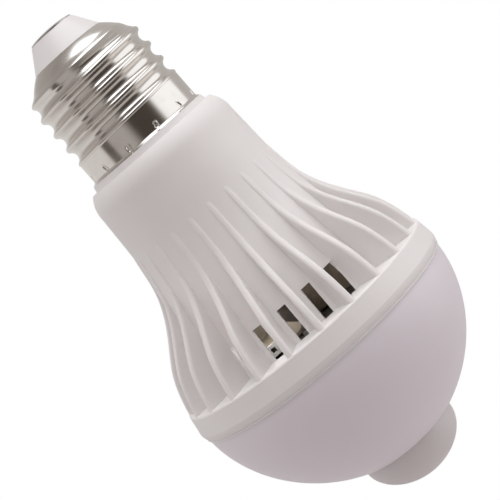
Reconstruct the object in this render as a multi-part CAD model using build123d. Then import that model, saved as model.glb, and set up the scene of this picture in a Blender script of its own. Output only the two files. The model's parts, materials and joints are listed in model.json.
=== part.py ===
from build123d import *
import math
import os

# Motion sensor LED bulb, millimetres. The axis is Z with the screw cap up,
# and the origin is on the outer face of the centre contact.
# The front is -Y, the side with the first group of vents.

# Screw cap
THREAD_CREST_R = 13.05
THREAD_DEPTH = 0.98
THREAD_PITCH = 3.629
THREAD_LENGTH = 13.5
THREAD_START_ANGLE = -86.0
THREAD_RUNOUT = 0.6
SHEET = 0.25
CAP_DOME_HEIGHT = 4.4
CAP_DOME_TOP_R = 8.1
CAP_DOME_BULGE = 0.5
SKIRT_DROP = 0.12
SKIRT_STEP = 1.2
SKIRT_LENGTH = 4.3
LIP_FLARE = 0.6
LIP_HEIGHT = 0.7
PUNCH_COUNT = 12
PUNCH_R = 0.5
PUNCH_DEPTH = 0.16
PUNCH_LENGTH = 0.8
PUNCH_RISE = 1.0
PUNCH_ANGLE = 19.2

# Centre contact and insulator
CONTACT_R = 4.85
CONTACT_FLAT_R = 1.6
CONTACT_RISE = 0.4
CONTACT_EDGE = 0.3
SHANK_R = 1.5
SHANK_LENGTH = 4.0
INSULATOR_TOP_R = 5.05
INSULATOR_HEIGHT = 4.6
INSULATOR_PLUG = 3.4
INSULATOR_FLANGE = 1.5
INSULATOR_FLANGE_T = 1.2

# Housing
COLLAR_STEP = 0.12
COLLAR_DRAFT = 0.3
COLLAR_HEIGHT = 1.3
SHOULDER_STEP = 1.0
SHOULDER_HEIGHT = 4.2
NECK_R = 16.55
NECK_DRAFT = 0.6
NECK_LENGTH = 9.6
CORE_BEND = 4.2
CORE_BEND_R = 60.0
FIN_LENGTH = 30.5
FIN_COUNT = 24
FIN_T = 1.4
FIN_ROUND = 0.5
FIN_END_INSET = 0.3
CORE_BASE_R = 22.8
WALL = 1.6
FLANGE_T = 1.5
RIM_R = 30.0
RIM_DRAFT = 0.6
RIM_HEIGHT = 5.9
RIM_TOP_ROUND = 0.6
RIM_ROUND = 1.7
RIM_WALL = 2.0
SPIGOT_WALL = 1.5
VENT_COUNT = 5
VENT_WIDTH = 2.05
VENT_HEIGHT = 7.1
VENT_SINK = 0.3

# Diffuser and sensor lens
DOME_STEP = 0.6
DOME_HEIGHT = 28.0
DOME_POWER = 1.9
DOME_WALL = 1.3
SKIRT_DEPTH = 2.5
SKIRT_WALL = 1.3
SNAP = 0.25
NOSE_R = 10.7
NOSE_STRAIGHT = 0.7
NOSE_HEIGHT = 7.86
NOSE_POWER = 1.94
NOSE_WALL = 0.9
LENS_FLANGE = 1.3
LENS_FLANGE_T = 1.2
LENS_COLLAR_T = 1.2

# LED board
LED_BOARD_T = 1.5
LED_HOLE_R = 7.2
LED_COUNT = 18
LED_LENGTH = 3.5
LED_WIDTH = 2.8
LED_HEIGHT = 0.7
SCREW_R = 1.1
SCREW_HEAD_R = 2.2
SCREW_HEAD_H = 1.5
SCREW_LENGTH = 7.0
BOSS_R = 2.5
BOSS_HEIGHT = 9.0
BOSS_WEB = 1.6

# Driver board and what stands on it
BOARD_T = 1.2
BOARD_Y = -2.0
BOARD_TOP_GAP = 5.0
TONGUE_GAP = 1.3
GUIDE_GRIP = 1.0
GUIDE_T = 1.2
GUIDE_FLOOR = 1.0
GUIDE_LENGTH = 24.0
FILTER_CAP_DROP = 10.0
FILTER_CAP_R = 4.0
FILTER_CAP_LENGTH = 14.0
OUTPUT_CAP_R = 3.3
OUTPUT_CAP_LENGTH = 8.5
FILM_DROP = 14.0
FILM_SIZE = (11.0, 6.0, 10.0)
DRUM_R = 4.5
DRUM_HEIGHT = 8.0
DRUM_FLANGE_T = 1.2
DRUM_SPOOL_R = 2.2
CHIP_DROP = 26.0
CHIP_SIZE = (3.9, 1.6, 4.9)
BRIDGE_SIZE = (4.0, 2.4, 4.7)
RESISTOR_DROP = 33.0
RESISTOR_SIZE = (1.25, 0.5, 2.0)
RESISTOR_COUNT = 5
FUSE_R = 1.3
FUSE_LENGTH = 6.5
LEAD_R = 0.3
CONNECTOR_SIZE = (4.4, 14.0, 2.4)
CONNECTOR_LIFT = 1.0
CONNECTOR_HOLE = 1.0

# Sensor assembly
HOLDER_WALL = 1.3
HOLDER_FOOT_T = 1.2
HOLDER_FOOT = 0.6
HOLDER_SPIGOT = 3.2
EAR_R = 2.3
HOLDER_SCREW_R = 0.9
HOLDER_SCREW_HEAD_R = 1.7
HOLDER_SCREW_HEAD_H = 1.2
HOLDER_SCREW_LENGTH = 3.4
SENSOR_BOARD_T = 1.0
SENSOR_LEDGE = 1.0
PIR_R = 4.3
PIR_FLANGE = 0.35
PIR_FLANGE_T = 0.5
PIR_HEIGHT = 4.2
PIR_WINDOW = (4.0, 3.0, 0.4)
LIGHT_R = 1.0
LIGHT_HEIGHT = 3.0
SENSOR_CHIP_SIZE = (4.9, 3.9, 1.5)

# Leads
WIRE_R = 0.6
WIRE_BEND = 1.6

# Clearances
FIT = 0.1
SLIDE = 0.2
CLEAR = 0.35

# Heights worked out down the axis
Z_CONTACT_SEAT = -(CONTACT_RISE + CONTACT_EDGE)
Z_SHELL_TOP = Z_CONTACT_SEAT - INSULATOR_HEIGHT
Z_THREAD_TOP = Z_SHELL_TOP - CAP_DOME_HEIGHT
Z_THREAD_END = Z_THREAD_TOP - THREAD_LENGTH
Z_LIP_TOP = Z_THREAD_END - SKIRT_LENGTH
Z_COLLAR_TOP = Z_LIP_TOP - LIP_HEIGHT
Z_SHOULDER_TOP = Z_COLLAR_TOP - COLLAR_HEIGHT
Z_NECK_TOP = Z_SHOULDER_TOP - SHOULDER_HEIGHT
Z_FIN_TOP = Z_NECK_TOP - NECK_LENGTH
Z_CORE_BEND = Z_FIN_TOP - CORE_BEND
Z_FLANGE = Z_FIN_TOP - FIN_LENGTH
Z_LED_BOARD = Z_FLANGE - FLANGE_T
Z_LED_FACE = Z_LED_BOARD - LED_BOARD_T
Z_RIM_END = Z_FLANGE - RIM_HEIGHT
Z_SPIGOT_TOP = Z_THREAD_TOP - CLEAR
Z_LAND_TOP = Z_THREAD_END - CLEAR
Z_LEDGE = Z_NECK_TOP + 1.0

# Radii and places worked out from the sizes above
THREAD_ROOT_R = THREAD_CREST_R - THREAD_DEPTH
SKIRT_R = THREAD_CREST_R - SKIRT_DROP
COLLAR_R = SKIRT_R + LIP_FLARE + COLLAR_STEP
SPIGOT_R = THREAD_ROOT_R - SHEET - CLEAR
BORE_R = SPIGOT_R - SPIGOT_WALL
LAND_R = SKIRT_R - SHEET - FIT
NECK_END_R = NECK_R + NECK_DRAFT
NECK_INNER_R = NECK_R - WALL
FIN_STEP = 360 / FIN_COUNT
RIM_TOP_R = RIM_R - RIM_DRAFT
FIN_END_R = RIM_TOP_R - FIN_END_INSET
RIM_INNER_R = RIM_R - RIM_WALL
DOME_R = RIM_R - DOME_STEP
SKIRT_INNER_R = RIM_INNER_R - FIT - SKIRT_WALL
LED_BOARD_R = SKIRT_INNER_R - CLEAR
NOSE_HOLE_R = NOSE_R + FIT
COLLAR_INSIDE_R = NOSE_HOLE_R + LENS_COLLAR_T
BOARD_FRONT = BOARD_Y - BOARD_T / 2
BOARD_BACK = BOARD_Y + BOARD_T / 2
BOARD_HALF = NECK_INNER_R - GUIDE_FLOOR - SLIDE - 1.0
TONGUE_HALF = BORE_R - TONGUE_GAP
BOARD_TOP = Z_SPIGOT_TOP - BOARD_TOP_GAP
BOARD_FOOT = Z_LED_BOARD + SLIDE
BOSS_X = BOARD_HALF + SLIDE + BOSS_R + CLEAR
LED_RING_R = BOSS_X + SCREW_HEAD_R + LED_WIDTH / 2 + 2 * CLEAR
HOLDER_FOOT_R = NOSE_R - FIT + HOLDER_FOOT
EAR_Y = HOLDER_FOOT_R + EAR_R / 2
HOLDER_R = NOSE_R - NOSE_WALL - FIT
SENSOR_BOARD_R = HOLDER_R - HOLDER_WALL - FIT


def superellipse(radius, depth, power, share):
    """Radius and depth of a dome at a share of the quarter turn from its equator (0) to its pole (1)."""
    angle = share * math.pi / 2
    return radius * math.cos(angle) ** (2 / power), depth * math.sin(angle) ** (2 / power)


def depth_at(radius, depth, power, r):
    """Depth of a superellipse dome below its equator at the radius r."""
    return depth * (1 - (r / radius) ** power) ** (1 / power)


# The dome's own depths, where the lens comes through it
Z_NOSE = Z_RIM_END - depth_at(DOME_R, DOME_HEIGHT, DOME_POWER, NOSE_HOLE_R)
Z_NOSE_DOME = Z_NOSE - NOSE_STRAIGHT
Z_NOSE_END = Z_NOSE_DOME - NOSE_HEIGHT
Z_LENS_SEAT = Z_NOSE + DOME_WALL + 1.5
Z_HOLDER_STEP = Z_LENS_SEAT + LENS_FLANGE_T
Z_SENSOR_BOARD = Z_HOLDER_STEP - SENSOR_LEDGE
Z_SENSOR_FACE = Z_SENSOR_BOARD - SENSOR_BOARD_T


def turned(*edges):
    """Solid of revolution about Z from a closed outline drawn as (radius, height)."""
    return revolve(Plane.XZ * make_face(edges), Axis.Z)


def turned_points(*points):
    """Solid of revolution about Z from the corners of its outline."""
    return turned(*Polyline(*points, close=True).edges())


def tube(outer, inner, top, bottom):
    """Plain tube about Z between two heights."""
    return turned_points((inner, top), (outer, top), (outer, bottom), (inner, bottom))


def rod(radius, top, bottom, x=0.0, y=0.0):
    """Upright round bar between two heights."""
    return Pos(x, y, (top + bottom) / 2) * Cylinder(radius, abs(top - bottom))


def block(x, y, z):
    """Box between pairs of limits."""
    size = [abs(b - a) for a, b in (x, y, z)]
    middle = [(a + b) / 2 for a, b in (x, y, z)]
    return Pos(*middle) * Box(*size)


def wire(points, radius, bend):
    """Round wire along straight runs joined by arcs."""
    path = FilletPolyline(*points, radius=bend)
    return sweep(Plane(origin=path @ 0, z_dir=path % 0) * Circle(radius), path=path)


def around(shape, count, first=0.0):
    """Copies of a shape evenly spaced about Z."""
    return [Rot(0, 0, first + 360 * k / count) * shape for k in range(count)]


def shell_edge(inset):
    """Outline of the shell's sheet from its top hole down to the flared lip, moved inwards."""
    top = (CAP_DOME_TOP_R - inset, Z_SHELL_TOP)
    middle = ((CAP_DOME_TOP_R + THREAD_ROOT_R) / 2 + CAP_DOME_BULGE - inset, (Z_SHELL_TOP + Z_THREAD_TOP) / 2)
    root = (THREAD_ROOT_R - inset, Z_THREAD_TOP)
    skirt = (SKIRT_R - inset, Z_LIP_TOP)
    lip = (SKIRT_R + LIP_FLARE - inset, Z_COLLAR_TOP)
    return [
        ThreePointArc(top, middle, root),
        Polyline(root, (THREAD_ROOT_R - inset, Z_THREAD_END + SKIRT_STEP), (SKIRT_R - inset, Z_THREAD_END), skirt),
        TangentArc(skirt, lip, tangent=(0, -1)),
    ]


def thread_ridge():
    """Rounded right-handed ridge wound around the shell."""
    bottom = Z_THREAD_END + THREAD_RUNOUT
    helix = Helix(THREAD_PITCH, Z_THREAD_TOP - THREAD_RUNOUT - bottom, THREAD_ROOT_R)
    sunk, half = -0.8 * SHEET, 0.36 * THREAD_PITCH
    flank, flank_half = 0.22 * THREAD_DEPTH, 0.26 * THREAD_PITCH
    outline = [
        Polyline((flank, flank_half), (sunk, half), (sunk, -half), (flank, -flank_half)),
        ThreePointArc((flank, -flank_half), (THREAD_DEPTH, 0), (flank, flank_half)),
    ]
    section = make_face([edge for line in outline for edge in line.edges()])
    start = Plane(origin=helix @ 0, x_dir=(1, 0, 0), z_dir=helix % 0)
    ridge = Pos(0, 0, bottom) * sweep(start * section, path=helix, is_frenet=True)
    return ridge - rod(SKIRT_R - SHEET / 2, Z_THREAD_END, Z_COLLAR_TOP)


def punches():
    """Upright capsules that dent the skirt where the shell is staked to the housing."""
    z = Z_COLLAR_TOP + PUNCH_RISE + PUNCH_LENGTH / 2
    pin = Cylinder(PUNCH_R, PUNCH_LENGTH)
    for end in (-1, 1):
        pin += Pos(0, 0, end * PUNCH_LENGTH / 2) * Sphere(PUNCH_R)
    return around(Pos(SKIRT_R + PUNCH_R - PUNCH_DEPTH, 0, z) * pin, PUNCH_COUNT, PUNCH_ANGLE)


def screw_shell():
    """Thin shell with its thread and staking dents."""
    outer, inner = shell_edge(0), shell_edge(SHEET)
    ends = [Line(outer[0] @ 0, inner[0] @ 0), Line(outer[-1] @ 1, inner[-1] @ 1)]
    sheet = turned(*[edge for line in outer + inner + ends for edge in line.edges()])
    return Rot(0, 0, THREAD_START_ANGLE) * (sheet + thread_ridge()) - punches()


def centre_contact():
    """Domed contact disc with a flat middle and its rivet shank."""
    edges = [
        Line((0, 0), (CONTACT_FLAT_R, 0)),
        TangentArc((CONTACT_FLAT_R, 0), (CONTACT_R, -CONTACT_RISE), tangent=(1, 0)),
        Polyline((CONTACT_R, -CONTACT_RISE), (CONTACT_R, Z_CONTACT_SEAT), (SHANK_R, Z_CONTACT_SEAT),
                 (SHANK_R, Z_CONTACT_SEAT - SHANK_LENGTH), (0, Z_CONTACT_SEAT - SHANK_LENGTH), (0, 0)),
    ]
    return turned(*[edge for line in edges for edge in line.edges()])


def cap_insulator():
    """Cone above the shell, plug through its hole and a flange under its dome."""
    plug = CAP_DOME_TOP_R - SHEET - FIT
    flange = plug + INSULATOR_FLANGE
    bottom = Z_SHELL_TOP - INSULATOR_PLUG
    bore = SHANK_R + FIT
    return turned_points(
        (bore, Z_CONTACT_SEAT), (INSULATOR_TOP_R, Z_CONTACT_SEAT), (CAP_DOME_TOP_R, Z_SHELL_TOP),
        (plug, Z_SHELL_TOP), (plug, bottom + INSULATOR_FLANGE_T + INSULATOR_FLANGE / 2),
        (flange, bottom + INSULATOR_FLANGE_T), (flange, bottom), (bore, bottom))


def core_edge(inset):
    """Outline of the neck and core wall down to the flange, moved inwards: two cones and an arc."""
    top = (NECK_R - inset, Z_NECK_TOP)
    bend = (NECK_END_R - inset, Z_CORE_BEND)
    base = (CORE_BASE_R - inset, Z_FLANGE)
    return FilletPolyline(top, bend, base, radius=CORE_BEND_R)


def fin():
    """One radial fin: a plate under the flared edge, its outer corners rounded."""
    start_r = NECK_R + NECK_DRAFT * NECK_LENGTH / (NECK_LENGTH + CORE_BEND) - FIT
    flare = FIN_END_R - start_r
    shares = ((0.05, 0.028), (0.284, 0.132), (0.55, 0.47), (0.744, 0.79))
    points = [(start_r + f * flare, Z_FIN_TOP - t * FIN_LENGTH) for t, f in shares]
    start, end = (start_r, Z_FIN_TOP), (FIN_END_R, Z_FLANGE)
    edge = Spline(start, *points, end, tangents=((0.4, -1), (0.22, -1)))
    foot = Z_FLANGE - FLANGE_T / 2
    root = NECK_INNER_R - WALL
    back = Polyline(end, (FIN_END_R, foot), (root, foot), (root, Z_FIN_TOP), start)
    plate = extrude(Plane.XZ * make_face(edge.edges() + back.edges()), FIN_T / 2, both=True)
    long_edges = plate.edges().filter_by(GeomType.BSPLINE)
    return fillet(long_edges, FIN_ROUND) - inside_limit()


def housing_body():
    """Outside of the housing as a filled solid, without the fins."""
    shoulder_r = COLLAR_R + COLLAR_DRAFT + SHOULDER_STEP
    rim_low = Z_RIM_END + RIM_ROUND
    edges = [
        Polyline((0, Z_SPIGOT_TOP), (SPIGOT_R, Z_SPIGOT_TOP), (SPIGOT_R, Z_LAND_TOP), (LAND_R, Z_LAND_TOP),
                 (LAND_R, Z_COLLAR_TOP), (COLLAR_R, Z_COLLAR_TOP),
                 (COLLAR_R + COLLAR_DRAFT, Z_SHOULDER_TOP), (shoulder_r, Z_SHOULDER_TOP)),
        TangentArc((NECK_R, Z_NECK_TOP), (shoulder_r, Z_SHOULDER_TOP), tangent=(0, 1)),
        core_edge(0),
        Polyline((CORE_BASE_R, Z_FLANGE), (RIM_TOP_R - RIM_TOP_ROUND, Z_FLANGE)),
        TangentArc((RIM_TOP_R - RIM_TOP_ROUND, Z_FLANGE), (RIM_TOP_R, Z_FLANGE - RIM_TOP_ROUND),
                   tangent=(1, 0)),
        Line((RIM_TOP_R, Z_FLANGE - RIM_TOP_ROUND), (RIM_R, rim_low)),
        TangentArc((RIM_R, rim_low), (DOME_R + FIT, Z_RIM_END), tangent=(0, -1)),
        Polyline((DOME_R + FIT, Z_RIM_END), (0, Z_RIM_END), (0, Z_SPIGOT_TOP)),
    ]
    return turned(*[edge for line in edges for edge in line.edges()])


def housing_hollow():
    """Space inside the housing: bore, neck and core, then the pocket for the LED board and diffuser."""
    throat = CORE_BASE_R - WALL
    groove = RIM_INNER_R + SNAP
    snap = Z_RIM_END + SKIRT_DEPTH / 2
    edges = [
        Polyline((0, Z_SPIGOT_TOP + 1), (BORE_R, Z_SPIGOT_TOP + 1), (BORE_R, Z_LEDGE),
                 (NECK_INNER_R, Z_LEDGE), (NECK_INNER_R, Z_NECK_TOP)),
        core_edge(WALL),
        Polyline((throat, Z_FLANGE), (throat, Z_LED_BOARD), (RIM_INNER_R, Z_LED_BOARD),
                 (RIM_INNER_R, snap + 2 * SNAP), (groove, snap + SNAP), (groove, snap - SNAP),
                 (RIM_INNER_R, snap - 2 * SNAP), (RIM_INNER_R, Z_RIM_END - 1), (0, Z_RIM_END - 1),
                 (0, Z_SPIGOT_TOP + 1)),
    ]
    return turned(*[edge for line in edges for edge in line.edges()])


def inside_limit():
    """Solid that reaches to the middle of the core wall, to trim what is moulded on inside."""
    low = CORE_BASE_R - WALL / 2
    edges = [
        Polyline((0, Z_LEDGE + WALL / 2), (NECK_INNER_R, Z_LEDGE + WALL / 2),
                 (NECK_R - WALL / 2, Z_NECK_TOP)),
        core_edge(WALL / 2),
        Polyline((low, Z_FLANGE), (low, Z_LED_BOARD), (0, Z_LED_BOARD), (0, Z_LEDGE + WALL / 2)),
    ]
    return turned(*[edge for line in edges for edge in line.edges()])


def vents():
    """Upright slots between the fins, in one group at the front and one at the back, cut along Y."""
    low = Z_FLANGE - VENT_SINK
    cuts = []
    for k in range(VENT_COUNT):
        angle = math.radians((k - (VENT_COUNT - 1) / 2) * FIN_STEP)
        x = CORE_BASE_R * math.sin(angle)
        near = (CORE_BASE_R - 5 * WALL) * math.cos(angle)
        far = (CORE_BASE_R + WALL / 2) * math.cos(angle)
        slot = block((x - VENT_WIDTH / 2, x + VENT_WIDTH / 2), (-far, -near), (low, low + VENT_HEIGHT))
        cuts += around(slot, 2)
    return cuts


def board_guides():
    """Grooved ribs that hold the two edges of the driver board."""
    ribs = []
    for side in (-1, 1):
        half = BOARD_T / 2 + SLIDE + GUIDE_T
        rib = block((side * (BOARD_HALF - GUIDE_GRIP), side * 2 * NECK_R), (BOARD_Y - half, BOARD_Y + half),
                    (Z_LEDGE + WALL / 2, Z_LEDGE - GUIDE_LENGTH))
        groove = block((0, side * (BOARD_HALF + SLIDE)),
                       (BOARD_FRONT - SLIDE, BOARD_BACK + SLIDE), (Z_LEDGE, Z_LED_BOARD))
        ribs.append(rib - groove)
    return ribs


def screw_bosses():
    """Pillars for the LED board's screws, each with a web to the core wall."""
    top = Z_LED_BOARD + BOSS_HEIGHT
    bosses = []
    for side in (-1, 1):
        web = block((side * BOSS_X, side * 2 * NECK_R), (-BOSS_WEB / 2, BOSS_WEB / 2), (top, Z_LED_BOARD))
        bosses.append(web)
        bosses.append(rod(BOSS_R, top, Z_LED_BOARD, side * BOSS_X))
    return bosses


def housing():
    """The moulded housing with its guides, bosses, vents and fins."""
    limit = inside_limit()
    body = housing_body() - housing_hollow()
    body += [piece & limit for piece in board_guides() + screw_bosses()]
    depth = SCREW_LENGTH - LED_BOARD_T + CLEAR
    holes = [rod(SCREW_R + FIT / 2, Z_LED_BOARD + depth, Z_LED_BOARD - 1, side * BOSS_X) for side in (-1, 1)]
    notch = block((-SPIGOT_R - 1, -BORE_R + 1), (NEUTRAL_Y - 2 * WIRE_R, NEUTRAL_Y + 2 * WIRE_R),
                  (Z_SPIGOT_TOP + 1, Z_SPIGOT_TOP - 3.2))
    body = body - (vents() + holes + [notch])
    return body + around(fin(), FIN_COUNT, FIN_STEP / 2 - 90)


def dome_edge(radius, depth, power, hole, equator, count=9):
    """Superellipse from its equator to the circle of a hole."""
    last = math.acos((hole / radius) ** (power / 2)) / (math.pi / 2)
    points = [superellipse(radius, depth, power, last * i / count) for i in range(count + 1)]
    return Spline(*[(r, equator - d) for r, d in points])


def diffuser():
    """Frosted dome with a skirt that snaps into the rim and a collar around the lens."""
    skirt_r = RIM_INNER_R - FIT
    bead = skirt_r + SNAP
    snap = Z_RIM_END + SKIRT_DEPTH / 2
    top = Z_RIM_END + SKIRT_DEPTH
    outer = dome_edge(DOME_R, DOME_HEIGHT, DOME_POWER, NOSE_HOLE_R, Z_RIM_END)
    inner_r, inner_h = DOME_R - DOME_WALL, DOME_HEIGHT - DOME_WALL
    inner = dome_edge(inner_r, inner_h, DOME_POWER, COLLAR_INSIDE_R, Z_RIM_END)
    shell = turned(*outer.edges(), *Polyline(outer @ 1, (0, (outer @ 1).Y), (0, Z_RIM_END), outer @ 0).edges())
    space = turned(*inner.edges(), *Polyline(inner @ 1, (0, (inner @ 1).Y), (0, Z_RIM_END), inner @ 0).edges())
    skirt = turned_points(
        (SKIRT_INNER_R, top), (skirt_r, top), (skirt_r, snap + 2 * SNAP), (bead, snap + SNAP),
        (bead, snap - SNAP), (skirt_r, snap - 2 * SNAP), (skirt_r, Z_RIM_END), (DOME_R - FIT, Z_RIM_END),
        (DOME_R - DOME_WALL / 2, Z_RIM_END - SKIRT_WALL), (DOME_R - DOME_WALL, Z_RIM_END - 2 * SKIRT_WALL),
        (SKIRT_INNER_R, Z_RIM_END - SKIRT_WALL))
    collar = tube(COLLAR_INSIDE_R + FIT, NOSE_HOLE_R, Z_LENS_SEAT, Z_NOSE)
    bore = rod(NOSE_HOLE_R, Z_LENS_SEAT + 1, Z_NOSE - 1)
    trimmed = (shell - space) + skirt
    return trimmed + (collar & shell) - bore


def sensor_lens():
    """Frosted lens dome with straight inner facets and a flange behind the diffuser's collar."""
    outer = dome_edge(NOSE_R, NOSE_HEIGHT, NOSE_POWER, 0, Z_NOSE_DOME)
    inner_r, inner_h = NOSE_R - NOSE_WALL, NOSE_HEIGHT - NOSE_WALL
    facets = [superellipse(inner_r, inner_h, NOSE_POWER, i / 5) for i in range(6)]
    inside = [(r, Z_NOSE_DOME - d) for r, d in reversed(facets)]
    flange_r = NOSE_R + LENS_FLANGE
    rest = Polyline(outer @ 1, *inside, (inner_r, Z_HOLDER_STEP), (flange_r, Z_HOLDER_STEP),
                    (flange_r, Z_LENS_SEAT), (NOSE_R, Z_LENS_SEAT), outer @ 0)
    return turned(*outer.edges(), *rest.edges())


def led_places():
    """Angles of the LEDs around their ring."""
    return [360 * (k + 0.5) / LED_COUNT for k in range(LED_COUNT)]


def led_board():
    """Round aluminium board with its centre hole, screw holes and lead holes."""
    board = tube(LED_BOARD_R, LED_HOLE_R, Z_LED_BOARD, Z_LED_FACE)
    for side in (-1, 1):
        board -= rod(SCREW_R + SLIDE, Z_LED_BOARD + 1, Z_LED_FACE - 1, side * BOSS_X)
        board -= rod(HOLDER_SCREW_R + FIT / 2, Z_LED_BOARD + 1, Z_LED_FACE - 1, 0, side * EAR_Y)
    for x, y in LED_LEADS:
        board -= rod(WIRE_R + FIT, Z_LED_BOARD + 1, Z_LED_FACE - 1, x, y)
    return board


def led_chips():
    """LED packages on the board's lower face, each with a shallow window."""
    chip = block((LED_RING_R - LED_WIDTH / 2, LED_RING_R + LED_WIDTH / 2), (-LED_LENGTH / 2, LED_LENGTH / 2),
                 (Z_LED_FACE, Z_LED_FACE - LED_HEIGHT))
    window = rod(LED_WIDTH * 0.4, Z_LED_FACE - LED_HEIGHT + 0.15, Z_LED_FACE - LED_HEIGHT - 1, LED_RING_R)
    return [Rot(0, 0, angle) * (chip - window) for angle in led_places()]


def pan_screw(radius, length, head_r, head_h, x, y, seat):
    """Screw pointing up with its domed head below the seat, and a cross recess."""
    rim = seat - 0.4 * head_h
    edges = [
        Polyline((0, seat + length), (radius, seat + length), (radius, seat), (head_r, seat), (head_r, rim)),
        ThreePointArc((head_r, rim), (0.72 * head_r, seat - 0.82 * head_h), (0, seat - head_h)),
        Line((0, seat - head_h), (0, seat + length)),
    ]
    screw = turned(*[edge for line in edges for edge in line.edges()])
    arm, half = 0.6 * head_r, 0.12 * head_r
    floor = (seat - 0.5 * head_h, seat - head_h - 1)
    screw -= block((-arm, arm), (-half, half), floor)
    screw -= block((-half, half), (-arm, arm), floor)
    return Pos(x, y, 0) * screw


def led_board_screws():
    """Screws through the LED board into the bosses."""
    size = (SCREW_R, SCREW_LENGTH, SCREW_HEAD_R, SCREW_HEAD_H)
    return [pan_screw(*size, side * BOSS_X, 0, Z_LED_FACE) for side in (-1, 1)]


def sensor_holder():
    """Tube from the LED board to the lens, with a foot, two ears and a ledge for the sensor board."""
    outer = NOSE_R - FIT
    inner = outer - HOLDER_WALL
    ledge = SENSOR_BOARD_R - SENSOR_LEDGE
    foot_low = Z_LED_FACE - HOLDER_FOOT_T
    end = Z_HOLDER_STEP - HOLDER_SPIGOT
    body = turned_points(
        (inner, Z_LED_FACE), (HOLDER_FOOT_R, Z_LED_FACE), (HOLDER_FOOT_R, foot_low), (outer, foot_low),
        (outer, Z_HOLDER_STEP), (HOLDER_R, Z_HOLDER_STEP), (HOLDER_R, end), (SENSOR_BOARD_R + FIT, end),
        (SENSOR_BOARD_R + FIT, Z_SENSOR_BOARD), (ledge, Z_SENSOR_BOARD),
        (ledge, Z_SENSOR_BOARD + SENSOR_LEDGE), (inner, Z_SENSOR_BOARD + 2 * SENSOR_LEDGE))
    for side in (-1, 1):
        ear = rod(EAR_R, Z_LED_FACE, foot_low, 0, side * EAR_Y)
        body += ear - rod(outer - FIT, Z_LED_FACE + 1, foot_low - 1)
        body -= rod(HOLDER_SCREW_R + FIT, Z_LED_FACE + 1, foot_low - 1, 0, side * EAR_Y)
    return body


def holder_screws():
    """Screws through the ears into the LED board."""
    size = (HOLDER_SCREW_R, HOLDER_SCREW_LENGTH, HOLDER_SCREW_HEAD_R, HOLDER_SCREW_HEAD_H)
    return [pan_screw(*size, 0, side * EAR_Y, Z_LED_FACE - HOLDER_FOOT_T) for side in (-1, 1)]


def driver_board():
    """Board with a tongue up into the cap and shoulders under the housing's ledge."""
    shoulder = Z_LEDGE - FIT
    tongue = block((-TONGUE_HALF, TONGUE_HALF), (BOARD_FRONT, BOARD_BACK), (BOARD_TOP, shoulder))
    return tongue + block((-BOARD_HALF, BOARD_HALF), (BOARD_FRONT, BOARD_BACK), (shoulder, BOARD_FOOT))


def on_front(shape, x, z):
    """Stand a shape built upwards from z = 0 on the front face of the driver board."""
    return Pos(x, BOARD_FRONT, z) * Rot(90, 0, 0) * shape


def on_back(size, x, z):
    """Box of width, thickness and height lying on the back face of the driver board."""
    width, thickness, height = size
    return block((x - width / 2, x + width / 2), (BOARD_BACK, BOARD_BACK + thickness),
                 (z - height / 2, z + height / 2))


def can_capacitor(radius, length):
    """Round capacitor from its seal at z = 0 up to its rounded top, with the crimp groove."""
    edge, groove = 0.12 * radius, 0.14 * radius
    seam = 0.5 * radius
    points = [
        (0, 0), (radius - edge, 0), (radius, edge), (radius, seam - groove), (radius - groove, seam),
        (radius, seam + groove), (radius, length - 2 * edge), (radius - 2 * edge, length), (0, length)]
    return turned_points(*points)


def filter_capacitor():
    """Large capacitor lying along the board below the neck."""
    top = Z_LEDGE - FILTER_CAP_DROP
    x = -CLEAR - FILTER_CAP_R
    return Pos(x, BOARD_FRONT - FILTER_CAP_R, top - FILTER_CAP_LENGTH) * can_capacitor(
        FILTER_CAP_R, FILTER_CAP_LENGTH)


def output_capacitor():
    """Small capacitor standing out from the foot of the board."""
    z = BOARD_FOOT + OUTPUT_CAP_R + SLIDE
    return on_front(can_capacitor(OUTPUT_CAP_R, OUTPUT_CAP_LENGTH), OUTPUT_CAP_X, z)


def inductor_core():
    """Ferrite drum standing out from the board."""
    low, high = DRUM_FLANGE_T, DRUM_HEIGHT - DRUM_FLANGE_T
    drum = turned_points((0, 0), (DRUM_R, 0), (DRUM_R, low), (DRUM_SPOOL_R, low), (DRUM_SPOOL_R, high),
                         (DRUM_R, high), (DRUM_R, DRUM_HEIGHT), (0, DRUM_HEIGHT))
    return on_front(drum, *DRUM_PLACE)


def inductor_winding():
    """Copper winding that fills the drum's spool."""
    coil = tube(DRUM_R - CLEAR, DRUM_SPOOL_R + FIT / 2, DRUM_HEIGHT - DRUM_FLANGE_T - FIT, DRUM_FLANGE_T + FIT)
    return on_front(coil, *DRUM_PLACE)


def fuse_resistor():
    """Fusible resistor on the tongue with its two leads bent to the board."""
    middle = (BOARD_TOP + Z_LEDGE) / 2
    x, y = -TONGUE_HALF / 2, BOARD_FRONT - FUSE_R - FIT
    half = FUSE_LENGTH / 2
    body = Pos(x, y, middle) * turned_points(
        (0, half), (FUSE_R, half), (FUSE_R, half - 1.2), (0.85 * FUSE_R, half - 1.6),
        (0.85 * FUSE_R, 1.6 - half), (FUSE_R, 1.2 - half), (FUSE_R, -half), (0, -half))
    for end in (-1, 1):
        tip = middle + end * (half + 1.8)
        body += wire([(x, y, middle), (x, y, tip), (x, BOARD_FRONT, tip)], LEAD_R, 2 * LEAD_R)
    return body


def led_connector():
    """White two-way connector at the foot of the board, with its two openings to the front."""
    width, reach, height = CONNECTOR_SIZE
    x, z = CONNECTOR_X, BOARD_FOOT + CONNECTOR_LIFT + height / 2
    front = BOARD_FRONT - reach
    body = block((x - width / 2, x + width / 2), (BOARD_FRONT, front), (z - height / 2, z + height / 2))
    half = CONNECTOR_HOLE / 2
    for hole_x in (x - width / 4, x + width / 4):
        body -= block((hole_x - half, hole_x + half), (front - 1, front + 2), (z - half, z + half))
    return body


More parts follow.
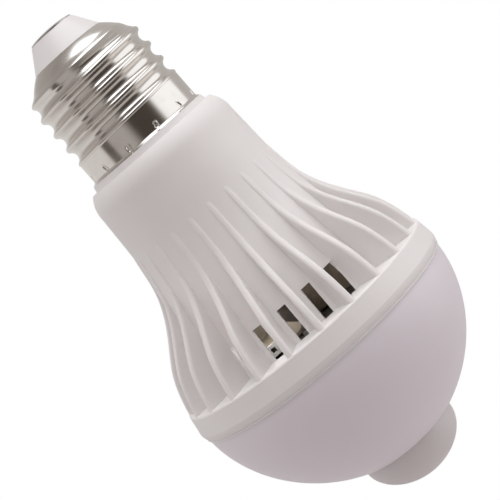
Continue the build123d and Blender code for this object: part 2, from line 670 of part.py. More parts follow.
def chip_resistors():
    """Row of small chip resistors on the board's back."""
    z = Z_LEDGE - RESISTOR_DROP
    pitch = 2 * RESISTOR_SIZE[0]
    first = -pitch * (RESISTOR_COUNT - 1) / 2
    return [on_back(RESISTOR_SIZE, first + k * pitch, z) for k in range(RESISTOR_COUNT)]


def sensor_board():
    """Round board on the holder's ledge."""
    return rod(SENSOR_BOARD_R, Z_SENSOR_BOARD, Z_SENSOR_FACE)


def pir_can():
    """Metal can of the infrared sensor with the recess for its window."""
    low = Z_SENSOR_FACE - PIR_HEIGHT
    flange = PIR_R + PIR_FLANGE
    step = Z_SENSOR_FACE - PIR_FLANGE_T
    round_r = 0.5
    edges = [
        Polyline((0, Z_SENSOR_FACE), (flange, Z_SENSOR_FACE), (flange, step), (PIR_R, step),
                 (PIR_R, low + round_r)),
        TangentArc((PIR_R, low + round_r), (PIR_R - round_r, low), tangent=(0, -1)),
        Polyline((PIR_R - round_r, low), (0, low), (0, Z_SENSOR_FACE)),
    ]
    can = turned(*[edge for line in edges for edge in line.edges()])
    width, height, depth = PIR_WINDOW
    return can - block((-width / 2, width / 2), (-height / 2, height / 2), (low - 1, low + depth))


def pir_window():
    """Dark filter window set into the can."""
    width, height, depth = PIR_WINDOW
    low = Z_SENSOR_FACE - PIR_HEIGHT
    half_w, half_h = width / 2 - FIT / 2, height / 2 - FIT / 2
    return block((-half_w, half_w), (-half_h, half_h), (low + FIT / 2, low + depth))


def light_sensor():
    """Clear round-ended daylight sensor beside the can."""
    x = (PIR_R + PIR_FLANGE + SENSOR_BOARD_R) / 2
    low = Z_SENSOR_FACE - LIGHT_HEIGHT + LIGHT_R
    return rod(LIGHT_R, Z_SENSOR_FACE, low, x) + Pos(x, 0, low) * Sphere(LIGHT_R)


def sensor_chip():
    """Control chip on the sensor board's upper face."""
    width, depth, height = SENSOR_CHIP_SIZE
    near = BOARD_BACK + 2 * WIRE_R + 2 * CLEAR
    return block((-width / 2, width / 2), (near, near + depth), (Z_SENSOR_BOARD, Z_SENSOR_BOARD + height))


def live_wire():
    """Lead from the contact's shank to the front of the tongue."""
    end = Z_CONTACT_SEAT - SHANK_LENGTH
    turn = Z_SHELL_TOP - INSULATOR_PLUG - WIRE_BEND
    x, y = TONGUE_HALF / 2, BOARD_FRONT - WIRE_R - FIT / 2
    return wire([(0, 0, end), (0, 0, turn), (x, y, BOARD_TOP + 1), (x, y, BOARD_TOP - 3)],
                WIRE_R, WIRE_BEND)


def neutral_wire():
    """Lead from the back of the tongue out through the spigot's notch to the shell."""
    x, z = -TONGUE_HALF / 2, Z_SPIGOT_TOP - 1.6
    reach = math.sqrt((THREAD_ROOT_R - SHEET) ** 2 - (NEUTRAL_Y + WIRE_R) ** 2) - FIT
    return wire([(x, NEUTRAL_Y, BOARD_TOP - 3), (x, NEUTRAL_Y, z), (-reach, NEUTRAL_Y, z)], WIRE_R, WIRE_BEND)


def led_leads():
    """Two short leads from the connector down through the LED board."""
    top = BOARD_FOOT + CONNECTOR_LIFT
    return [rod(WIRE_R, top, Z_LED_FACE - 0.5, x, y) for x, y in LED_LEADS]


def sensor_leads():
    """Three leads from the back of the driver board down the holder to the sensor board."""
    y = BOARD_BACK + WIRE_R + FIT / 2
    pitch = 4 * WIRE_R
    return [rod(WIRE_R, BOARD_FOOT + 6, Z_SENSOR_BOARD, k * pitch, y) for k in (-1, 0, 1)]


# Places on the driver board that two pieces share
NEUTRAL_Y = BOARD_BACK + WIRE_R + FIT / 2
DRUM_PLACE = (DRUM_R + CLEAR, Z_LEDGE - FILTER_CAP_DROP - FILTER_CAP_LENGTH)
CONNECTOR_X = -0.6 * BOARD_HALF
OUTPUT_CAP_X = CONNECTOR_X + CONNECTOR_SIZE[0] / 2 + CLEAR + OUTPUT_CAP_R
LED_LEADS = [(CONNECTOR_X + side * CONNECTOR_SIZE[0] / 4, BOARD_FRONT - 0.6 * CONNECTOR_SIZE[1])
             for side in (-1, 1)]

PIECES = {
    "screw_shell": screw_shell(),
    "cap_insulator": cap_insulator(),
    "centre_contact": centre_contact(),
    "housing": housing(),
    "diffuser": diffuser(),
    "sensor_lens": sensor_lens(),
    "led_board": led_board(),
    "led_chips": led_chips(),
    "led_board_screws": led_board_screws(),
    "sensor_holder": sensor_holder(),
    "holder_screws": holder_screws(),
    "driver_board": driver_board(),
    "fuse_resistor": fuse_resistor(),
    "filter_capacitor": filter_capacitor(),
    "output_capacitor": output_capacitor(),
    "film_capacitor": on_back(FILM_SIZE, 0, Z_LEDGE - FILM_DROP),
    "inductor_core": inductor_core(),
    "inductor_winding": inductor_winding(),
    "bridge_rectifier": on_back(BRIDGE_SIZE, -BOARD_HALF / 2, Z_LEDGE - CHIP_DROP),
    "driver_chip": on_back(CHIP_SIZE, BOARD_HALF / 2, Z_LEDGE - CHIP_DROP),
    "chip_resistors": chip_resistors(),
    "led_connector": led_connector(),
    "sensor_board": sensor_board(),
    "pir_can": pir_can(),
    "pir_window": pir_window(),
    "light_sensor": light_sensor(),
    "sensor_chip": sensor_chip(),
    "live_wire": live_wire(),
    "neutral_wire": neutral_wire(),
    "led_leads": led_leads(),
    "sensor_leads": sensor_leads(),
}

os.makedirs("parts", exist_ok=True)
for name, piece in PIECES.items():
    solids = [solid for part in (piece if isinstance(piece, list) else [piece]) for solid in part.solids()]
    shape = solids[0] if len(solids) == 1 else Compound(children=solids)
    export_step(shape, f"parts/{name}.step")
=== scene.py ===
import json
import math

import bpy
import numpy as np
from mathutils import Matrix, Vector


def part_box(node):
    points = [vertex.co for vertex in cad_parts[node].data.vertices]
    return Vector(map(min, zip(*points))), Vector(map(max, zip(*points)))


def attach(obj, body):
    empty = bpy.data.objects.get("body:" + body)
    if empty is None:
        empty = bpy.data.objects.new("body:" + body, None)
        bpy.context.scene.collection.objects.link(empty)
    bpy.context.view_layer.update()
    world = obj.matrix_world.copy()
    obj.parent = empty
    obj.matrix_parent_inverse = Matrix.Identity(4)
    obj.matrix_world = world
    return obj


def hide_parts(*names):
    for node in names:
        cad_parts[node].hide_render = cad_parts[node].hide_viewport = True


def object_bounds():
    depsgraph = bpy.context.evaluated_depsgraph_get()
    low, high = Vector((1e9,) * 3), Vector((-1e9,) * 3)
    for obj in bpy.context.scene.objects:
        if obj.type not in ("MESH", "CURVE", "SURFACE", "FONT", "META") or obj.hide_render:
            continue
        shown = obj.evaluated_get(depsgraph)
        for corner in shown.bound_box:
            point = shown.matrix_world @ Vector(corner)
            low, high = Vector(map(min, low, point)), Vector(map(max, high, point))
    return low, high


# Motion sensor LED bulb, metres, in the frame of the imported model: cap up along +Z, vents to -Y.
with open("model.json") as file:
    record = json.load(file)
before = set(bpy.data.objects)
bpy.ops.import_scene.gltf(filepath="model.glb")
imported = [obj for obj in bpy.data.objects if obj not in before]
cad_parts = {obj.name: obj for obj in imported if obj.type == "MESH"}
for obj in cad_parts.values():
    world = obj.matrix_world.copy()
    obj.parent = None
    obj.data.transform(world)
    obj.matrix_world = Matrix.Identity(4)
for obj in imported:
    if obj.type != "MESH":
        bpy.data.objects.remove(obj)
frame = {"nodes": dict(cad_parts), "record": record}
CAD_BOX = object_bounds()
NODES = frame["nodes"]
MM = 0.001

# Camera
CAMERA_HEIGHT = -57.4 * MM
CAMERA_DISTANCE = 337.0 * MM
CAMERA_AZIMUTH = 4.75
CAMERA_ELEVATION = 5.6
CAMERA_ROLL = 41.28
CAMERA_SIDE = 1.03 * MM
CAMERA_LENS = 124.6

# Plated shell
ROOT_R = 11.98 * MM
CREST_R = 13.05 * MM
SKIRT_R = 12.93 * MM
PITCH = 3.629 * MM
THREAD_START = -86.0
CREST_SHARE = 0.3
SHEET = 0.25 * MM
DOME_HEIGHT = 4.4 * MM
DOME_TOP_R = 8.1 * MM
DOME_BULGE = 0.5 * MM
THREAD_LENGTH = 13.5 * MM
RUNOUT = 0.6 * MM
RUNOUT_ANGLE = 120.0
SKIRT_BLEND = 0.35 * MM
LIP_FLARE = 0.6 * MM
LIP_HEIGHT = 0.7 * MM
DENT_COUNT = 12
DENT_ANGLE = 19.2
DENT_R = 0.36 * MM
DENT_LENGTH = 0.7 * MM
DENT_RISE = 1.25 * MM
DENT_DEPTH = 0.2 * MM
DENT_LEAN = 0.3
BURR = 0.05 * MM

SHELL_COLUMNS = 240
DENT_COLUMNS = 15
DENT_SPAN = 3.6
FINE_REACH = 4.4 * MM
THREAD_ROWS = 175
FINE_ROWS = 40
INSIDE_ROWS = 56
FADE_START = DOME_HEIGHT - 2.6 * MM
FADE_END = DOME_HEIGHT + 0.4 * MM
SHARP_ANGLE = 35.0

# Bead between rim and diffuser
BEAD_R = 0.22 * MM
BEAD_COLUMNS = 240
BEAD_ROWS = 12

# Studio, with bearings in degrees from the camera, towards its right, about the bulb's axis.
# A panel has its centre and half size by bearing and elevation, the softness of its edge, and its level.
# A lamp has its bearing, elevation, distance, size and power.
AMBIENT = (0.375, 0.345, 0.345)
FLOOR_DROP = 0.6
DOME_DISTANCE = 2.0
WALL_LEVELS = ((-62, 0.45), (-32, 0.66), (0, 0.78), (10, 0.74), (24, 0.48), (72, 0.34), (88, 0.52))
PANELS = {
    "brown front left": ((-26, -14), (30, 13), 0.3, 0.24),
    "tan front left": ((-30, 8), (22, 20), 0.2, 0.46),
    "dark front": ((21, -4), (30, 31), 0.3, 0.07),
    "dark arm": ((-8, 42), (9, 26), 0.4, 0.17),
    "dark strip": ((-60, 6), (9, 17), 0.25, 0.12),
    "right wall": ((150, 18), (34, 42), 0.15, 0.55),
    "right soft box": ((84, 0), (32, 28), 0.12, 1.25),
}
CEILING_BOX = (0.5, 0.42)
CEILING_HALF = (0.65, 0.54)
CEILING_LEAN = 0.65
CEILING_EDGE = 0.1
CEILING_LEVEL = 2.2
LAMPS = {
    "right_lamp": (82, 8, 0.8, (0.9, 1.2), 2.3),
    "key_lamp": (50, 76, 0.8, (0.9, 0.7), 4.7),
    "left_lamp": (-112, 20, 0.9, (1.0, 1.2), 2.0),
    "front_lamp": (-3, 9, 1.0, (0.2, 0.2), 0.25),
}
INNER_LAMP = Vector((-6.0, -15.0, -65.0)) * MM
INNER_POWER = 0.0026
INNER_R = 2 * MM
FLOOR_HALF = 4.0
DOME_COLUMNS = 241
DOME_ROWS = 121
GREEN_POWER = 1.07
BLUE_POWER = 1.13
LOWEST_CEILING = 5


class Value:
    """Socket of a node tree: each operator on it adds a Math node and gives that node's socket."""

    def __init__(self, finish, socket):
        self.finish = finish
        self.socket = socket

    def math(self, operation, *inputs):
        return self.finish.node("ShaderNodeMath", {"operation": operation}, dict(enumerate(inputs)))

    def __add__(self, other):
        return self.math("ADD", self, other)

    def __sub__(self, other):
        return self.math("SUBTRACT", self, other)

    def __rsub__(self, other):
        return self.math("SUBTRACT", other, self)

    def __mul__(self, other):
        return self.math("MULTIPLY", self, other)

    __radd__ = __add__
    __rmul__ = __mul__

    def sine(self):
        return self.math("SINE", self)

    def most(self, other):
        return self.math("MAXIMUM", self, other)

    def step(self, low, high):
        """0 below low, 1 above high, smooth between."""
        sockets = {"Value": self, "From Min": low, "From Max": high}
        return self.finish.node("ShaderNodeMapRange", {"interpolation_type": "SMOOTHSTEP"}, sockets)


class Finish:
    """One material or world. Its nodes come from one method, and its places from Object coordinates."""

    def __init__(self, name, holder=None):
        self.holder = holder or bpy.data.materials.new(name)
        self.holder.use_nodes = True
        self.tree = self.holder.node_tree
        self.shader = self.tree.nodes.get("Principled BSDF")

    def link(self, value, socket):
        if isinstance(value, Value):
            self.tree.links.new(value.socket, socket)
        elif hasattr(socket.default_value, "__len__") and len(socket.default_value) == 4:
            socket.default_value = (*value, 1.0)[:4]
        else:
            socket.default_value = value

    def node(self, kind, settings=None, inputs=None, output=0):
        """Node of a kind with its settings, then the values or links of its sockets; gives one output."""
        node = self.tree.nodes.new(kind)
        for key, value in (settings or {}).items():
            setattr(node, key, value)
        for key, value in (inputs or {}).items():
            self.link(value, node.inputs[key])
        return Value(self, node.outputs[output])

    def place(self):
        return self.node("ShaderNodeTexCoord", output="Object")

    def noise(self, scale, detail=2.0, place=None):
        sockets = {"Vector": place or self.place(), "Scale": scale, "Detail": detail}
        return self.node("ShaderNodeTexNoise", {"noise_dimensions": "3D"}, sockets)

    def axes(self):
        """X, Y and Z of the Object coordinates as three values."""
        split = self.node("ShaderNodeSeparateXYZ", None, {0: self.place()})
        return [Value(self, output) for output in split.socket.node.outputs]

    def mix(self, share, first, second):
        settings = {"data_type": "RGBA"}
        return self.node("ShaderNodeMix", settings, {0: share, 6: first, 7: second}, output=2)

    def bump(self, height, distance):
        return self.node("ShaderNodeBump", None, {"Height": height, "Distance": distance, "Strength": 1.0})

    def set(self, **sockets):
        """Values or links for the shader's sockets, named with _ for spaces."""
        for key, value in sockets.items():
            self.link(value, self.shader.inputs[key.replace("_", " ")])
        return self


def shade(colour, share):
    """The same colour, lighter or darker."""
    return tuple(share * c for c in colour)


def moulded(name, colour, roughness, grain=0.35 * MM, depth=0.004 * MM, tone=0.04, glow=0.0,
            reach=1.2 * MM):
    """Moulded plastic: a fine spark-eroded grain, slow changes of tone and gloss, and light that goes in."""
    finish = Finish(name)
    slow = finish.noise(60, 3.0)
    fine = finish.noise(1 / grain, 2.0)
    finish.set(
        Base_Color=finish.mix(slow.step(0.3, 0.7), shade(colour, 1 - tone), colour),
        Roughness=roughness + 0.12 * (finish.noise(220, 2.0) - 0.5) + 0.08 * (fine - 0.5),
        Normal=finish.bump(fine, depth),
        Subsurface_Weight=glow,
        Subsurface_Radius=(1.0, 0.9, 0.85),
        Subsurface_Scale=reach,
    )
    return finish.holder


def plated_nickel():
    """Bright nickel on rolled sheet: turning marks around the axis, smudges and faint patches of tarnish."""
    finish = Finish("nickel_plate")
    x, y, z = finish.axes()
    around = x.math("ARCTAN2", y, x)
    wrapped = finish.node("ShaderNodeCombineXYZ", None, {0: around * 0.6, 1: z * 9000, 2: 0.0})
    marks = finish.noise(1.0, 3.0, wrapped)
    smudge = finish.noise(160, 4.0)
    tarnish = finish.noise(420, 5.0).step(0.48, 0.75)
    clean, stained = (0.74, 0.70, 0.665), (0.58, 0.52, 0.46)
    finish.set(
        Metallic=1.0,
        Base_Color=finish.mix(0.2 * tarnish, clean, stained),
        Roughness=0.16 + 0.07 * smudge.step(0.4, 0.75) + 0.05 * (marks - 0.5),
        Normal=finish.bump(marks, 0.0006 * MM),
    )
    return finish.holder


def metal(name, colour, roughness, scratch=0.4 * MM, depth=0.01 * MM, dull=0.25):
    """Plain metal with fine pits, duller in patches."""
    finish = Finish(name)
    patch = finish.noise(0.25 / scratch, 4.0).step(0.4, 0.7)
    pits = finish.noise(1 / scratch, 3.0)
    finish.set(
        Metallic=1.0,
        Base_Color=finish.mix(dull * patch, colour, shade(colour, 0.6)),
        Roughness=roughness + 0.18 * patch + 0.1 * (pits - 0.5),
        Normal=finish.bump(pits, depth),
    )
    return finish.holder


def circuit_board(name, colour, track):
    """Board with a fine glass weave under the lacquer and faint tracks."""
    finish = Finish(name)
    x, y, z = finish.axes()
    weave = (x * 9000).sine() * (z * 9000).sine()
    tracks = finish.noise(240, 0.0).step(0.5, 0.53)
    mottled = finish.mix(finish.noise(500, 4.0).step(0.3, 0.7), shade(colour, 0.8), colour)
    finish.set(
        Base_Color=finish.mix(0.5 * tracks, mottled, track),
        Roughness=0.45 + 0.08 * weave,
        Normal=finish.bump(weave + 2 * tracks, 0.008 * MM),
    )
    return finish.holder


def wound_copper():
    """Enamelled wire wound side by side: rounded ridges along the drum's Y axis, with painted shade that
    darkens the grooves between the turns.
    """
    finish = Finish("copper_wire")
    x, y, z = finish.axes()
    wire = 0.35 * MM
    turns = (y * (2 * math.pi / wire)).sine()
    finish.set(
        Metallic=0.85,
        # Painted shade: dark copper in the grooves between turns, full copper colour on the ridges.
        Base_Color=finish.mix(turns.step(-1.0, 0.2), (0.22, 0.07, 0.025), (0.66, 0.27, 0.10)),
        Roughness=0.32 + 0.05 * turns,
        Normal=finish.bump(turns, 0.06 * MM),
    )
    return finish.holder


def phosphor():
    """Yellow phosphor in resin: fine grains in a satin fill."""
    finish = Finish("led_phosphor")
    grains = finish.noise(9000, 2.0)
    finish.set(
        Base_Color=finish.mix(grains, (0.78, 0.52, 0.05), (0.95, 0.72, 0.16)),
        Roughness=0.35 + 0.2 * (grains - 0.5),
        Normal=finish.bump(grains, 0.01 * MM),
    )
    return finish.holder


def striped_sleeve():
    """Shrunk sleeve of a can: dark film with a wide beige stripe low on its left side."""
    finish = Finish("sleeve_beige")
    x, y, z = finish.axes()
    low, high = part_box("output_capacitor")
    slant = (z - (low.z + high.z) / 2) + 0.8 * (x - (low.x + high.x) / 2)
    fine = finish.noise(2500, 2.0)
    beige = finish.mix(fine, (0.36, 0.30, 0.24), (0.46, 0.39, 0.31))
    finish.set(
        Base_Color=finish.mix(slant.step(0.2 * MM, 0.5 * MM), beige, (0.034, 0.024, 0.018)),
        Roughness=0.6 + 0.15 * (fine - 0.5),
        Normal=finish.bump(fine, 0.002 * MM),
    )
    return finish.holder


def shrouded_connector():
    """White shroud at the front of a brown moulded body, split at a depth along Y."""
    finish = Finish("connector_white")
    x, y, z = finish.axes()
    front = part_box("led_connector")[0].y
    fine = finish.noise(1800, 2.0)
    white = finish.mix(fine, (0.86, 0.85, 0.83), (0.93, 0.92, 0.90))
    finish.set(
        Base_Color=finish.mix((y - front).step(0.5 * MM, 0.6 * MM), white, (0.20, 0.165, 0.12)),
        Roughness=0.4 + 0.15 * (fine - 0.5),
        Normal=finish.bump(fine, 0.003 * MM),
    )
    return finish.holder


FINISHES = {
    "nickel_plate": plated_nickel(),
    "contact_metal": metal("contact_metal", (0.56, 0.54, 0.52), 0.38, 0.9 * MM, 0.05 * MM),
    "insulator_white": moulded("insulator_white", (0.79, 0.775, 0.765), 0.36, 0.5 * MM, 0.003 * MM,
                               tone=0.03, glow=0.1),
    "housing_white": moulded("housing_white", (0.84, 0.82, 0.81), 0.52, 0.35 * MM, 0.005 * MM,
                             tone=0.03, glow=0.35, reach=1.0 * MM),
    "diffuser_frost": moulded("diffuser_frost", (0.82, 0.78, 0.822), 0.48, 0.25 * MM, 0.002 * MM,
                              tone=0.02, glow=0.35),
    "lens_frost": moulded("lens_frost", (0.70, 0.67, 0.665), 0.45, 0.4 * MM, 0.003 * MM,
                          tone=0.03, glow=0.25),
    "board_aluminium": metal("board_aluminium", (0.20, 0.185, 0.17), 0.5),
    "led_phosphor": phosphor(),
    "screw_steel": metal("screw_steel", (0.55, 0.55, 0.56), 0.3),
    "holder_white": moulded("holder_white", (0.78, 0.77, 0.76), 0.5),
    "board_brown": circuit_board("board_brown", (0.21, 0.165, 0.12), (0.27, 0.21, 0.15)),
    "board_green": circuit_board("board_green", (0.02, 0.13, 0.05), (0.03, 0.2, 0.08)),
    "resistor_body": moulded("resistor_body", (0.55, 0.42, 0.28), 0.4),
    "capacitor_sleeve": moulded("capacitor_sleeve", (0.03, 0.03, 0.035), 0.3, 0.5 * MM, 0.002 * MM),
    "sleeve_beige": striped_sleeve(),
    "film_yellow": moulded("film_yellow", (0.62, 0.36, 0.02), 0.35, 0.8 * MM, 0.01 * MM),
    "ferrite": moulded("ferrite", (0.035, 0.033, 0.032), 0.6, 0.15 * MM, 0.015 * MM, tone=0.3),
    "copper_wire": wound_copper(),
    "chip_black": moulded("chip_black", (0.02, 0.02, 0.021), 0.45, 0.1 * MM, 0.006 * MM),
    "connector_white": shrouded_connector(),
    "can_metal": metal("can_metal", (0.62, 0.60, 0.56), 0.25),
    "window_dark": moulded("window_dark", (0.025, 0.022, 0.03), 0.2, 0.5 * MM, 0.001 * MM),
    "clear_resin": moulded("clear_resin", (0.75, 0.78, 0.80), 0.12, 0.8 * MM, 0.001 * MM),
    "wire_red": moulded("wire_red", (0.12, 0.03, 0.02), 0.5),
    "wire_white": moulded("wire_white", (0.78, 0.76, 0.73), 0.4),
}


def dress_nodes():
    """Every CAD node takes the finish of its own material slot in the record."""
    for row in frame["record"]["subparts"]:
        for place in NODES[row["node"]].material_slots:
            place.material = FINISHES[row["material_slot"]]


def add_object(name, data):
    """New object with the data, linked to the scene."""
    added = bpy.data.objects.new(name, data)
    bpy.context.scene.collection.objects.link(added)
    return added


def add_mesh(name, points, quads, material):
    """New object at the origin with a mesh of a grid's points and quads."""
    mesh = bpy.data.meshes.new(name)
    mesh.from_pydata(points.reshape(-1, 3).tolist(), [], quads.reshape(-1, 4).tolist())
    mesh.materials.append(material)
    return add_object(name, mesh)


def grid_piece(name, points, slot):
    """Mesh piece from a grid of points that closes on itself both ways."""
    rows, columns = points.shape[:2]
    i, j = np.meshgrid(np.arange(rows), np.arange(columns), indexing="ij")
    i2, j2 = (i + 1) % rows, (j + 1) % columns
    quads = np.stack([i * columns + j, i2 * columns + j, i2 * columns + j2, i * columns + j2], axis=-1)
    piece = add_mesh(name, points, quads, FINISHES[slot])
    piece.data.shade_smooth()
    piece.data.set_sharp_from_angle(angle=math.radians(SHARP_ANGLE))
    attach(piece, "root")
    return piece


def smooth(low, high, x):
    """0 below low, 1 above high, a cubic step between."""
    t = np.clip((x - low) / (high - low), 0.0, 1.0)
    return t * t * (3 - 2 * t)


def dent_angles():
    """Angles of the dents about Z."""
    return np.radians(DENT_ANGLE + 360.0 / DENT_COUNT * np.arange(DENT_COUNT))


def even_turn(count):
    """Angles of one full turn in even steps, the last a step short of the first."""
    return np.linspace(0, 2 * math.pi, count, endpoint=False)


def half_turn(angle):
    """The same angle, from minus to plus half a turn."""
    return (angle + math.pi) % (2 * math.pi) - math.pi


def shell_angles():
    """Angles around the shell, even but for a finer run across each dent."""
    reach = math.radians(DENT_SPAN)
    even = even_turn(SHELL_COLUMNS)
    gap = np.abs(half_turn(even[:, None] - dent_angles())).min(axis=1)
    fine = (dent_angles()[:, None] + np.linspace(-reach, reach, DENT_COLUMNS)) % (2 * math.pi)
    return np.sort(np.concatenate([even[gap > 1.05 * reach], fine.ravel()]))


def shell_base(drop):
    """Radius of the shell's dome and thread root, at a drop below the shell's top edge: a parabola up to the
    root's cylinder."""
    t = np.clip(drop / DOME_HEIGHT, 0.0, 1.0)
    return DOME_TOP_R + (ROOT_R - DOME_TOP_R) * t + 4 * DOME_BULGE * t * (1 - t)


def skirt_share(angle, drop):
    """0 on the thread and 1 on the skirt: the skirt starts at the last crest's helix, and crosses back over
    one turn behind."""
    turn = half_turn(angle - math.radians(THREAD_START))
    reach = math.radians(RUNOUT_ANGLE)
    around = np.interp(turn, (-math.pi, -reach, reach, math.pi), (0.0, -reach, reach, 0.0))
    edge = DOME_HEIGHT + THREAD_LENGTH - RUNOUT - PITCH * around / (2 * math.pi)
    return smooth(0.0, SKIRT_BLEND, drop - edge)


def thread_rise(angle, drop):
    """Height of the rolled thread over its root: a tight crest arc and a wider root arc that touch where the
    flank is steepest, repeated along the helix and faded in on the dome."""
    depth, half = CREST_R - ROOT_R, PITCH / 2
    steepest = 2 * math.atan(depth / half)
    crest = CREST_SHARE * half / math.sin(steepest)
    root = half / math.sin(steepest) - crest
    start = DOME_HEIGHT + THREAD_LENGTH - RUNOUT
    phase = (drop - start) / PITCH + (angle - math.radians(THREAD_START)) / (2 * math.pi)
    away = np.abs((phase + 0.5) % 1.0 - 0.5) * PITCH
    upper = depth - crest + np.sqrt(np.maximum(crest ** 2 - away ** 2, 0.0))
    lower = root - np.sqrt(np.maximum(root ** 2 - (half - away) ** 2, 0.0))
    fade_in = smooth(FADE_START, FADE_END, drop)
    return np.where(away < CREST_SHARE * half, upper, lower) * fade_in


def dents(angle, rise):
    """Inward depth of the staking dents: capsules that lean a little, each its own way, deepest at the top,
    with a raised burr around."""
    lean = DENT_LEAN * np.sin(2.4 * np.arange(DENT_COUNT))
    height = rise[..., None] - DENT_RISE
    away = half_turn(angle[..., None] - dent_angles()) * SKIRT_R - lean * height
    far = np.hypot(away, np.maximum(np.abs(height) - DENT_LENGTH / 2, 0.0)).min(axis=-1)
    slope = 0.55 + 0.45 * smooth(-DENT_LENGTH, DENT_LENGTH / 2, rise - DENT_RISE)
    pocket = DENT_DEPTH * slope * (1 - smooth(0.5 * DENT_R, DENT_R, far))
    burr = BURR * np.exp(-((far - 1.2 * DENT_R) / (0.3 * DENT_R)) ** 2)
    return pocket - burr


def plated_shell():
    """Rolled sheet shell as one closed grid: its outside from the top hole to the lip, then its inside back.
    Radius = base + thread, then the skirt and a parabola for the flared lip, less the dents, and the inside
    is a sheet's thickness less."""
    low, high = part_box("screw_shell")
    top, reach = high.z, high.z - low.z
    angles = shell_angles()
    skirt = reach - FINE_REACH
    outside = np.concatenate([np.linspace(0, skirt, THREAD_ROWS), np.linspace(skirt, reach, FINE_ROWS)[1:]])
    inside = np.linspace(reach, 0, INSIDE_ROWS)

    def surface(drops, inset, marked):
        drop, angle = np.meshgrid(drops, angles, indexing="ij")
        radius = shell_base(drop) + thread_rise(angle, drop)
        radius = radius + (SKIRT_R - radius) * skirt_share(angle, drop) - inset
        radius = radius + LIP_FLARE * np.clip((drop - reach) / LIP_HEIGHT + 1, 0.0, 1.0) ** 2
        if marked:
            radius = radius - dents(angle, reach - drop)
        return np.stack([radius * np.cos(angle), radius * np.sin(angle), top - drop], axis=-1)

    points = np.concatenate([surface(outside, 0.0, True), surface(inside, SHEET, False)])
    piece = grid_piece("plated_shell", points, "nickel_plate")
    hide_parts("screw_shell")


def joint_bead():
    """Thin bead in the corner between rim and diffuser: a small circle carried around the axis."""
    ring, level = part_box("diffuser")[1].x + BEAD_R / 4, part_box("housing")[0].z
    around, across = np.meshgrid(even_turn(BEAD_COLUMNS), even_turn(BEAD_ROWS), indexing="ij")
    radius = ring + BEAD_R * np.cos(across)
    points = [radius * np.cos(around), radius * np.sin(around), level + BEAD_R * np.sin(across)]
    grid_piece("joint_bead", np.stack(points, axis=-1), "housing_white")


def make_camera():
    """Camera at the photograph's place, rolled so that the cap points up and to the left."""
    azimuth, elevation = math.radians(CAMERA_AZIMUTH), math.radians(CAMERA_ELEVATION)
    flat = math.cos(elevation)
    back = Vector((math.sin(azimuth) * flat, -math.cos(azimuth) * flat, math.sin(elevation)))
    right = Vector((0, 0, 1)).cross(back).normalized()
    up = back.cross(right)
    roll = math.radians(CAMERA_ROLL)
    cam_right = math.cos(roll) * right - math.sin(roll) * up
    cam_up = math.sin(roll) * right + math.cos(roll) * up
    place = Vector((0, 0, CAMERA_HEIGHT)) + CAMERA_DISTANCE * back + CAMERA_SIDE * right
    data = bpy.data.cameras.new("camera")
    data.lens = CAMERA_LENS
    data.clip_start, data.clip_end = 0.01, 100.0
    camera = add_object("camera", data)
    camera.matrix_world = Matrix.Translation(place) @ Matrix((cam_right, cam_up, back)).transposed().to_4x4()
    bpy.context.scene.camera = camera


def seen_rays(finish):
    """1 for camera, glossy and transmission rays, which see the plain white studio."""
    path = finish.node("ShaderNodeLightPath").socket.node.outputs
    camera, glossy, through = [
        Value(finish, path[name]) for name in ("Is Camera Ray", "Is Glossy Ray", "Is Transmission Ray")]
    return camera.most(glossy).most(through)


def make_world():
    """White studio to the eye, softer and warmer as light on the bulb."""
    world = bpy.data.worlds.new("studio")
    bpy.context.scene.world = world
    finish = Finish("studio", world)
    background = finish.tree.nodes["Background"]
    finish.link(finish.mix(seen_rays(finish), AMBIENT, (1, 1, 1)), background.inputs["Color"])


def floor_material():
    """Pale matt floor that reads white to the eye."""
    finish = Finish("floor")
    finish.set(Base_Color=(0.92, 0.88, 0.88), Roughness=0.9)
    glow = finish.node("ShaderNodeEmission", None, {"Color": (1, 1, 1)})
    plain = Value(finish, finish.shader.outputs[0])
    mixed = finish.node("ShaderNodeMixShader", None, {0: seen_rays(finish), 1: plain, 2: glow})
    finish.tree.links.new(mixed.socket, finish.tree.nodes["Material Output"].inputs["Surface"])
    return finish.holder


def stage_grid(name, points, material):
    """Open grid of points as a stage piece."""
    rows, columns = points.shape[:2]
    i, j = np.meshgrid(np.arange(rows - 1), np.arange(columns - 1), indexing="ij")
    corner = i * columns + j
    quads = np.stack([corner, corner + 1, corner + columns + 1, corner + columns], axis=-1)
    piece = add_mesh(name, points, quads, material)
    return piece


def bearing_to_angle(bearing):
    """Angle about Z of a bearing from the camera."""
    return np.radians(np.asarray(bearing, float) + CAMERA_AZIMUTH - 90)


def make_floor():
    """Wide pale floor below the bulb."""
    side = np.linspace(-FLOOR_HALF, FLOOR_HALF, 3)
    x, y = np.meshgrid(side, side, indexing="ij")
    points = np.stack([x, y, np.full_like(x, CAD_BOX[0].z - FLOOR_DROP)], axis=-1)
    floor = stage_grid("floor", points, floor_material())
    floor.visible_glossy = False


def rounded_mask(across, up, edge):
    """1 inside a rounded square of half size 1, 0 outside, with soft edges."""
    far = (across ** 4 + up ** 4) ** 0.25
    return 1 - smooth(1 - edge, 1 + edge, far)


def ceiling_mask(bearing, rise):
    """Mask of the soft box overhead, laid out on a level ceiling by shares of its height."""
    turn, lift = np.radians(bearing), np.radians(np.clip(rise, LOWEST_CEILING, 90))
    right = np.sin(turn) / np.tan(lift)
    front = np.cos(turn) / np.tan(lift) + CEILING_LEAN * right
    front = (front - CEILING_BOX[0]) / CEILING_HALF[0]
    right = (right - CEILING_BOX[1]) / CEILING_HALF[1]
    return np.where(rise > LOWEST_CEILING, rounded_mask(front, right, CEILING_EDGE), 0.0)


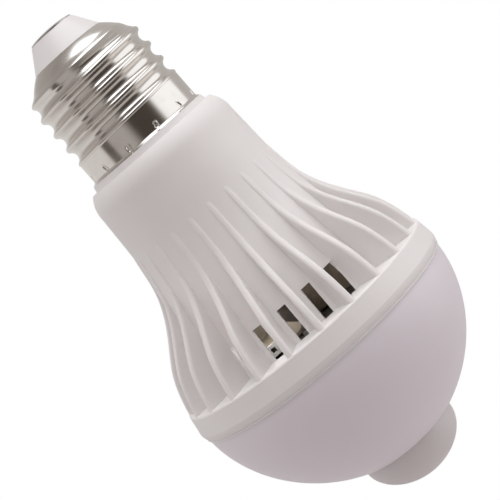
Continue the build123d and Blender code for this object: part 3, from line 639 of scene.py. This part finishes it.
def studio_tones(bearing, rise):
    """Brightness of the studio around the bulb: walls by elevation, with the panels laid over them."""
    tone = np.interp(rise, *zip(*WALL_LEVELS))
    for centre, half, edge, level in PANELS.values():
        across = (bearing - centre[0]) / half[0]
        up = (rise - centre[1]) / half[1]
        tone = tone + (level - tone) * rounded_mask(across, up, edge)
    return tone + (CEILING_LEVEL - tone) * ceiling_mask(bearing, rise)


def make_studio_dome():
    """Sphere of walls, soft boxes and dark cards that only reflections see."""
    bearing, rise = np.meshgrid(np.linspace(-180, 180, DOME_COLUMNS), np.linspace(-90, 90, DOME_ROWS),
                                indexing="ij")
    turn, lift = bearing_to_angle(bearing), np.radians(rise)
    ball = np.stack([np.cos(lift) * np.cos(turn), np.cos(lift) * np.sin(turn), np.sin(lift)], axis=-1)
    finish = Finish("studio_dome")
    tint = finish.node("ShaderNodeAttribute", {"attribute_name": "tone"}, output="Color")
    glow = finish.node("ShaderNodeEmission", None, {"Color": tint})
    finish.tree.links.new(glow.socket, finish.tree.nodes["Material Output"].inputs["Surface"])
    dome = stage_grid("studio_dome", DOME_DISTANCE * ball + np.array([0, 0, CAMERA_HEIGHT]), finish.holder)
    tone = studio_tones(bearing, rise).ravel()
    colour = np.stack([tone, tone ** GREEN_POWER, tone ** BLUE_POWER, np.ones_like(tone)], axis=-1)
    layer = dome.data.attributes.new("tone", "FLOAT_COLOR", "POINT")
    layer.data.foreach_set("color", colour.ravel())
    dome.visible_camera = False
    dome.visible_diffuse = False
    dome.visible_transmission = False
    dome.visible_shadow = False


def make_lamps():
    """Large soft boxes at their bearings, facing the bulb."""
    for name, (bearing, rise, distance, size, power) in LAMPS.items():
        turn, lift = float(bearing_to_angle(bearing)), math.radians(rise)
        flat = math.cos(lift)
        towards = Vector((math.cos(turn) * flat, math.sin(turn) * flat, math.sin(lift)))
        data = bpy.data.lights.new(name, "AREA")
        data.shape = "RECTANGLE"
        data.size, data.size_y = size
        data.energy = power
        lamp = add_object(name, data)
        lamp.matrix_world = (Matrix.Translation(Vector((0, 0, CAMERA_HEIGHT)) + distance * towards)
                             @ towards.to_track_quat("Z", "Y").to_matrix().to_4x4())
        lamp.visible_glossy = False


def make_inner_lamp():
    """Faint light inside the housing, which the pale plastic of the real one lets through."""
    data = bpy.data.lights.new("inner_lamp", "POINT")
    data.energy = INNER_POWER
    data.shadow_soft_size = INNER_R
    add_object("inner_lamp", data).location = INNER_LAMP


make_camera()
dress_nodes()
plated_shell()
joint_bead()
make_world()
make_floor()
make_studio_dome()
make_lamps()
make_inner_lamp()

bpy.context.scene.view_settings.view_transform = "Standard"
